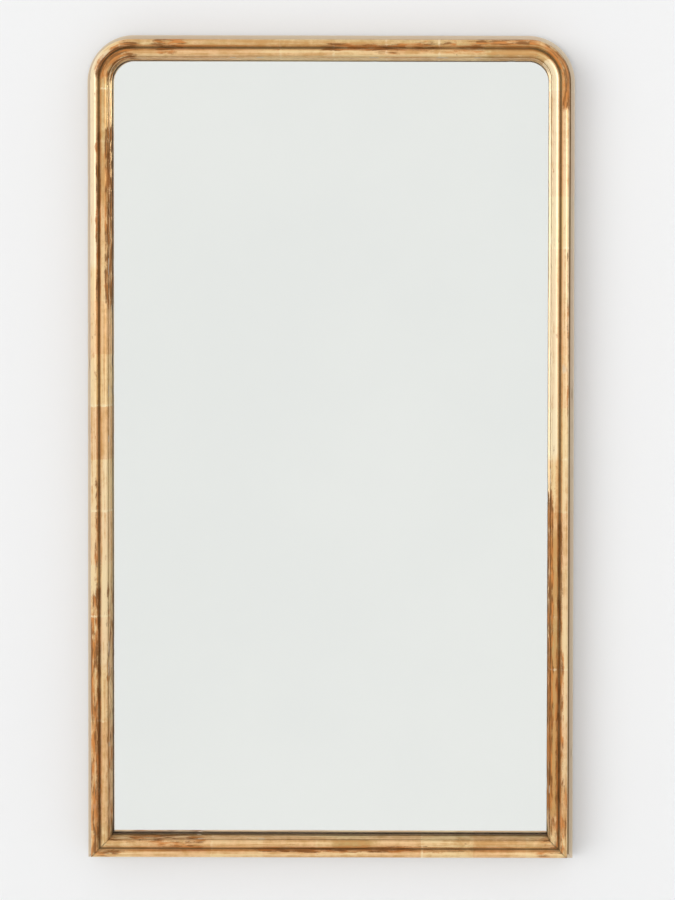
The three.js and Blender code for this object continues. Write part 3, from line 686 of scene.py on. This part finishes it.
def glass_finish():
    """Clear plate with a faint green cast and the slow waves of old glass."""
    material, tree, shader = new_finish("old_plate_glass")
    place = node(tree, "TexCoord", {}, "Object")
    waves = mottle(tree, place, 5, 2, 0.4)
    feed(tree, shader.inputs["Base Color"], GLASS_TINT)
    shader.inputs["Roughness"].default_value = 0.0
    shader.inputs["IOR"].default_value = 1.5
    shader.inputs["Transmission Weight"].default_value = 1.0
    height = calc(tree, "MULTIPLY", waves, 0.00012)
    bump = node(tree, "Bump", {"Height": height, "Distance": 1.0}, "Normal")
    feed(tree, shader.inputs["Normal"], bump)
    return material


plate_glass = flat_plate("plate_glass", GLASS_BACK, GLASS_FRONT)
plate_glass.data.materials.append(glass_finish())
silvering = flat_plate("silvering", SILVER_BACK, SILVER_FRONT)
silvering.data.materials.append(silver_finish())
for piece in (plate_glass, silvering):
    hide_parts("mirror_plate")
    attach(piece, "frame")

# ---------------------------------------------------------------- glazing blocks
# Ten short blocks of pine with a bevelled inner edge are glued against the wall of the rebate,
# and hold the plate forward against the lip.

PINE_PALE = (0.34, 0.215, 0.115, 1)
PINE = (0.235, 0.135, 0.068, 1)
PINE_DARK = (0.10, 0.052, 0.027, 1)
DUST = (0.30, 0.26, 0.21, 1)


def pine_finish():
    """Old pine: growth rings drawn out along the grain, small knots, stains and dust."""
    material, tree, shader = new_finish("sawn_pine")
    place = node(tree, "TexCoord", {}, "Object")
    shift = node(tree, "CombineXYZ", {"X": mark(tree, "plank"), "Z": mark(tree, "plank")}, 0)
    place = node(tree, "VectorMath", {0: place, 1: shift}, 0, operation="ADD")
    cells = {"Vector": stretched(tree, place, (2.6, 2.6, 6.5)), "Scale": 1.0}
    to_knot = node(tree, "TexVoronoi", cells, "Distance")
    knot = calc(tree, "SUBTRACT", 1.0, soft_step(tree, to_knot, 0.030, 0.060))
    halo = calc(tree, "SUBTRACT", 1.0, soft_step(tree, to_knot, 0.04, 0.22))
    warp = mottle(tree, stretched(tree, place, (2.2, 30, 30)), 1.0, 3, 0.5, 0.6)
    sockets = {
        "Vector": stretched(tree, place, (0.9, 12, 16)),
        "Scale": 1.0,
        "Distortion": calc(tree, "MULTIPLY_ADD", halo, 5.0, 13.0),
        "Detail": 3.0,
        "Detail Scale": 0.35,
    }
    rings = node(tree, "TexWave", sockets, "Fac", wave_type="BANDS", bands_direction="Z")
    fibres = mottle(tree, stretched(tree, place, (40, 900, 900)), 1.0, 3, 0.6)
    stains = mottle(tree, place, 5, 4, 0.6)
    faint = soft_step(tree, mottle(tree, stretched(tree, place, (1.5, 9, 9)), 1.0, 2, 0.5), 0.30, 0.70)
    rings = calc(tree, "MULTIPLY", rings, faint)
    tone = calc(tree, "MULTIPLY_ADD", warp, 0.85, calc(tree, "MULTIPLY", rings, 0.32))
    colour = between(tree, soft_step(tree, tone, 0.25, 0.90), PINE_PALE, PINE)
    colour = between(tree, calc(tree, "MULTIPLY", fibres, 0.30), colour, PINE_DARK)
    colour = between(tree, soft_step(tree, stains, 0.52, 0.80), colour, PINE_DARK)
    colour = between(tree, knot, colour, PINE_DARK)
    dusty = calc(tree, "MULTIPLY", soft_step(tree, mottle(tree, place, 14, 5, 0.7), 0.45, 0.75), 0.30)
    colour = between(tree, dusty, colour, DUST)
    feed(tree, shader.inputs["Base Color"], colour)
    feed(tree, shader.inputs["Roughness"], calc(tree, "MULTIPLY_ADD", rings, -0.15, 0.88))
    height = calc(tree, "MULTIPLY_ADD", rings, -0.00004, calc(tree, "MULTIPLY", fibres, 0.00010))
    bump = node(tree, "Bump", {"Height": height, "Distance": 1.0}, "Normal")
    feed(tree, shader.inputs["Normal"], bump)
    return material


board_pine = pine_finish()
for side in SIDES:
    blocks = [f"{side}_glazing_block_{i}" for i in (1, 2, 3)]
    blocks += [f"{side}_bottom_glazing_block", f"{side}_top_glazing_block"]
    dress(blocks, board_pine)

# ---------------------------------------------------------------- back boards
# Five thin boards of sawn pine lie across the back to keep out dust. Their arrises are eased, the
# uppermost has rounded corners, and each is cut from another plank.

BOARD_INSET = 0.023  # outer edge of the frame to the edge of the boards
BOARD_EASE = 0.0007
for number in range(1, 6):
    low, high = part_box(f"back_board_{number}")
    bm = bmesh.new()
    bmesh.ops.create_cube(bm, size=1.0)
    bmesh.ops.scale(bm, vec=high - low, verts=bm.verts)
    bmesh.ops.translate(bm, vec=(high + low) / 2, verts=bm.verts)
    if number == 5:
        upper = [
            e
            for e in bm.edges
            if all(v.co.z > high.z - 1e-4 for v in e.verts)
            and abs(e.verts[0].co.x - e.verts[1].co.x) < 1e-6
        ]
        bmesh.ops.bevel(
            bm,
            geom=upper,
            offset=CORNER_RADIUS - BOARD_INSET,
            offset_type="OFFSET",
            segments=20,
            profile=0.5,
            affect="EDGES",
            material=-1,
        )
    rim = [e for e in bm.edges if e.calc_face_angle() > radians(60)]
    bmesh.ops.bevel(
        bm,
        geom=rim,
        offset=BOARD_EASE,
        offset_type="OFFSET",
        segments=3,
        profile=0.5,
        affect="EDGES",
        material=-1,
        clamp_overlap=True,
    )
    plank = bm.verts.layers.float.new("plank")
    for vert in bm.verts:
        vert[plank] = 3.7 * number
    for face in bm.faces:
        face.smooth = True
    for edge in bm.edges:
        edge.smooth = edge.calc_face_angle() < radians(35)
    board = as_object(bm, f"pine_board_{number}")
    board.data.materials.append(board_pine)
    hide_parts(f"back_board_{number}")
    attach(board, "frame")

# ---------------------------------------------------------------- board nails
# Twenty cut nails, two near each edge of a board at both of its ends, hold the boards to the
# ledge of the rebate. Their heads are hammered to four uneven facets.

IRON = (0.085, 0.075, 0.068, 1)
IRON_WORN = (0.20, 0.185, 0.17, 1)
RUST = (0.17, 0.065, 0.03, 1)

SHANK_RADIUS = 0.0009  # at the head
SHANK_POINT = 0.00055  # radius at the point
HEAD_RISE = 0.0008


def iron_finish():
    """Forged iron, dark, worn a little brighter and rusted in spots."""
    material, tree, shader = new_finish("forged_iron")
    place = node(tree, "TexCoord", {}, "Object")
    scale_marks = mottle(tree, place, 260, 4, 0.6)
    patches = mottle(tree, place, 90, 4, 0.65)
    pits = mottle(tree, place, 1500, 3, 0.6)
    colour = between(tree, soft_step(tree, scale_marks, 0.45, 0.75), IRON, IRON_WORN)
    rusty = soft_step(tree, patches, 0.50, 0.64)
    colour = between(tree, calc(tree, "MULTIPLY", rusty, 0.85), colour, RUST)
    feed(tree, shader.inputs["Base Color"], colour)
    feed(tree, shader.inputs["Metallic"], calc(tree, "MULTIPLY_ADD", rusty, -0.7, 0.85))
    feed(tree, shader.inputs["Roughness"], calc(tree, "MULTIPLY_ADD", rusty, 0.3, 0.48))
    height = calc(tree, "MULTIPLY_ADD", pits, 0.00003, calc(tree, "MULTIPLY", scale_marks, 0.00012))
    height = calc(tree, "MULTIPLY_ADD", rusty, 0.00004, height)
    bump = node(tree, "Bump", {"Height": height, "Distance": 1.0}, "Normal")
    feed(tree, shader.inputs["Normal"], bump)
    return material


forged_iron = iron_finish()
for side in SIDES:
    for number in range(1, 11):
        low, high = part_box(f"{side}_board_nail_{number}")
        middle = (low + high) / 2
        radius = (high.x - low.x) / 2
        seed = Vector((middle.x * 70, 3, middle.z * 70))
        bm = bmesh.new()
        bmesh.ops.create_cone(
            bm,
            cap_ends=True,
            segments=16,
            radius1=SHANK_RADIUS,
            radius2=SHANK_POINT,
            depth=high.y - low.y - 0.0012,
            matrix=Matrix.Translation((middle.x, (low.y + high.y) / 2 - 0.0003, middle.z))
            @ Matrix.Rotation(radians(90), 4, "X"),
        )
        bmesh.ops.create_uvsphere(
            bm,
            u_segments=20,
            v_segments=10,
            radius=1.0,
            matrix=Matrix.Translation((middle.x, high.y - HEAD_RISE, middle.z))
            @ Matrix.Diagonal((radius, HEAD_RISE, radius, 1))
            @ Matrix.Rotation(radians(90), 4, "X"),
        )
        for vert in bm.verts:
            if vert.co.y > high.y - 0.0007:
                turn = atan2(vert.co.z - middle.z, vert.co.x - middle.x)
                pull = 0.10 * (1 + sin(4 * turn + 9 * noise.noise(seed)))
                pull += 0.10 * (1 + noise.noise(seed + vert.co * 900))
                vert.co.x = middle.x + (vert.co.x - middle.x) * (1 - 0.5 * pull)
                vert.co.z = middle.z + (vert.co.z - middle.z) * (1 - 0.5 * pull)
                vert.co.y -= 0.0002 * pull
        bmesh.ops.recalc_face_normals(bm, faces=bm.faces)
        for face in bm.faces:
            face.smooth = True
        nail = as_object(bm, f"{side}_cut_nail_{number}")
        nail.data.materials.append(forged_iron)
        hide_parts(f"{side}_board_nail_{number}")
        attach(nail, "frame")

# ---------------------------------------------------------------- ring straps and screws
# An iron strap on the back of each stile is rolled into an eye at its lower end. Two countersunk
# screws with slotted heads hold it to the land of the stile.

for side in SIDES:
    dress(
        [f"{side}_ring_strap", f"{side}_strap_screw_1", f"{side}_strap_screw_2"], forged_iron
    )

# ---------------------------------------------------------------- hanging rings
# A D-shaped ring of round iron rod swings in the eye of each strap, on its straight leg. The
# mirror hangs by the two rings.

ROD_RADIUS = 0.00175
RING_HALF_WIDTH = 0.0078
RING_BEND = 0.0025
RING_SIDE = 0.009
RING_DEPTH = 0.0036  # behind the wall plane, at the pivot
ROD_SIDES = 24

for side, sign in SIDES.items():
    low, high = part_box(f"{side}_hanging_ring")
    middle = (low.x + high.x) / 2
    bm = bmesh.new()
    rod = bmesh.ops.create_circle(
        bm,
        cap_ends=False,
        radius=ROD_RADIUS,
        segments=ROD_SIDES,
        matrix=Matrix.Translation((middle, RING_DEPTH, 0)) @ Matrix.Rotation(radians(90), 4, "Y"),
    )["verts"]
    geometry = rod + list({e for v in rod for e in v.link_edges})
    straight = RING_HALF_WIDTH - RING_BEND
    leg = RING_SIDE - RING_BEND
    moves = [
        ("go", (straight, 0, 0), 4),
        ("turn", (middle + straight, -RING_BEND), 90, 8),
        ("go", (0, 0, -leg), 5),
        ("turn", (middle, -RING_SIDE), 180, 32),
        ("go", (0, 0, leg), 5),
        ("turn", (middle - straight, -RING_BEND), 90, 8),
        ("go", (straight, 0, 0), 4),
    ]
    for kind, *move in moves:
        if kind == "go":
            step = Vector(move[0]) / move[1]
            spin = {"dvec": step, "steps": move[1], "axis": (0, 1, 0), "angle": 0}
        else:
            (x, z), degrees, steps = move
            spin = {
                "cent": (x, RING_DEPTH, z),
                "axis": (0, 1, 0),
                "angle": radians(degrees),
                "steps": steps,
                "dvec": (0, 0, 0),
            }
        geometry = bmesh.ops.spin(bm, geom=geometry, **spin)["geom_last"]
    bmesh.ops.remove_doubles(bm, verts=bm.verts, dist=1e-6)
    bmesh.ops.recalc_face_normals(bm, faces=bm.faces)
    for face in bm.faces:
        face.smooth = True
    ring = as_object(bm, f"{side}_iron_ring")
    ring.data.materials.append(forged_iron)
    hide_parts(f"{side}_hanging_ring")
    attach(ring, f"{side}_ring")

# ---------------------------------------------------------------- wall, floor, light and camera
# The mirror hangs on a pale wall over a pale floor. Soft daylight comes from a window to the
# left, a broad lamp to the right lights up the gold, and the room fills the shadows.

PAINT = (0.865, 0.872, 0.880, 1)
PAINT_PALE = (0.878, 0.882, 0.886, 1)
DAYLIGHT = (1.0, 0.985, 0.96)
ROOM_TONE = 0.86  # of the room where it is seen or mirrored
FILL = 0.83  # of the room where it lights something
WINDOW_STRENGTH = 0.98
LAMP_POWER = 14
LAMP_PLACE = Vector((1.75, -1.9, 0.45))
LAMP_AIM = Vector((0, 0, -0.4))
WALL_GAP = 0.0085  # wall behind the backs of the rails, which the rings hold off it
FLOOR = UNDERSIDE - 0.60


def room_finish():
    """Even pale paint, seen only from the side that it faces."""
    material, tree, shader = new_finish("pale_paint")
    tone = mottle(tree, node(tree, "TexCoord", {}, "Object"), 3, 3, 0.5)
    colour = between(tree, tone, PAINT, PAINT_PALE)
    feed(tree, shader.inputs["Base Color"], colour)
    shader.inputs["Roughness"].default_value = 0.9
    shader.inputs["Specular IOR Level"].default_value = 0.1
    behind = node(tree, "NewGeometry", {}, "Backfacing")
    clear = node(tree, "BsdfTransparent", {}, 0)
    mixed = node(tree, "MixShader", {0: behind, 1: shader.outputs[0], 2: clear}, 0)
    tree.links.new(mixed, tree.nodes["Material Output"].inputs["Surface"])
    return material


def room_plane(name, width, depth, matrix, opening=None):
    """A flat sheet, with a rectangular opening through it where one is given."""
    bm = bmesh.new()
    bmesh.ops.create_grid(bm, x_segments=1, y_segments=1, size=0.5)
    bmesh.ops.scale(bm, vec=(width, depth, 1), verts=bm.verts)
    bmesh.ops.transform(bm, matrix=matrix, verts=bm.verts)
    for point, away in opening or ():
        parts = bm.verts[:] + bm.edges[:] + bm.faces[:]
        bmesh.ops.bisect_plane(bm, geom=parts, plane_co=point, plane_no=away)
    if opening:
        within = [
            face
            for face in bm.faces
            if all((face.calc_center_median() - Vector(p)).dot(Vector(n)) < 0 for p, n in opening)
        ]
        bmesh.ops.delete(bm, geom=within, context="FACES")
    return as_object(bm, name)


# The wall is open behind the mirror, so that the back is lit too when it is looked at.
BEHIND = 0.016  # outer edge of the frame to the edge of the opening
behind_mirror = [
    ((HALF_WIDTH - BEHIND, 0, 0), (1, 0, 0)),
    ((BEHIND - HALF_WIDTH, 0, 0), (-1, 0, 0)),
    ((0, 0, TOP - 0.045), (0, 0, 1)),
    ((0, 0, UNDERSIDE + BEHIND), (0, 0, -1)),
]
pale_paint = room_finish()
wall_place = Matrix.Translation((0, WALL_GAP, FLOOR + 2.4)) @ Matrix.Rotation(radians(90), 4, "X")
wall = room_plane("wall", 8, 4.8, wall_place, behind_mirror)
floor = room_plane("floor", 8, 4.1, Matrix.Translation((0, 0.45, FLOOR)))
for piece in (wall, floor):
    piece.data.materials.append(pale_paint)

world = bpy.data.worlds.new("room")
world.use_nodes = True
tree = world.node_tree
paths = tree.nodes.new("ShaderNodeLightPath")
seen = calc(tree, "MAXIMUM", paths.outputs["Is Camera Ray"], paths.outputs["Is Glossy Ray"])
seen = calc(tree, "MAXIMUM", seen, paths.outputs["Is Transmission Ray"])
room = tree.nodes["Background"]
room.inputs["Color"].default_value = (1, 1, 1, 1)
feed(tree, room.inputs["Strength"], calc(tree, "MULTIPLY_ADD", seen, ROOM_TONE - FILL, FILL))
bpy.context.scene.world = world

# The window lights matt surfaces alone, and the lamp puts highlights on the gold alone.
daylight = bpy.data.lights.new("window", "SUN")
daylight.energy = WINDOW_STRENGTH
daylight.angle = radians(40)
daylight.color = DAYLIGHT
window = bpy.data.objects.new("window", daylight)
bpy.context.scene.collection.objects.link(window)
from_window = Vector((sin(radians(45)), cos(radians(45)), -sin(radians(6))))
window.rotation_euler = from_window.to_track_quat("-Z", "Y").to_euler()
window.visible_glossy = False

lamp = bpy.data.lights.new("lamp", "AREA")
lamp.shape = "SQUARE"
lamp.size = 0.85
lamp.energy = LAMP_POWER
lamp.color = DAYLIGHT
soft_lamp = bpy.data.objects.new("lamp", lamp)
bpy.context.scene.collection.objects.link(soft_lamp)
soft_lamp.location = LAMP_PLACE
soft_lamp.rotation_euler = (LAMP_AIM - LAMP_PLACE).to_track_quat("-Z", "Y").to_euler()
soft_lamp.visible_diffuse = False

camera = bpy.data.cameras.new("camera")
camera.lens = 64.71
camera.sensor_width = 36
camera.shift_x = -0.1073
camera.shift_y = -0.150
eye = bpy.data.objects.new("camera", camera)
bpy.context.scene.collection.objects.link(eye)
eye.location = (0.162, -2.5, -0.144)
yaw, pitch, roll = radians(-0.07), radians(0.82), radians(0.11)
forward = Vector((sin(yaw) * cos(pitch), cos(yaw) * cos(pitch), -sin(pitch)))
look = forward.to_track_quat("-Z", "Y") @ Quaternion((0, 0, 1), roll)
eye.rotation_euler = look.to_euler()
bpy.context.scene.camera = eye

bpy.context.scene.view_settings.view_transform = "Standard"
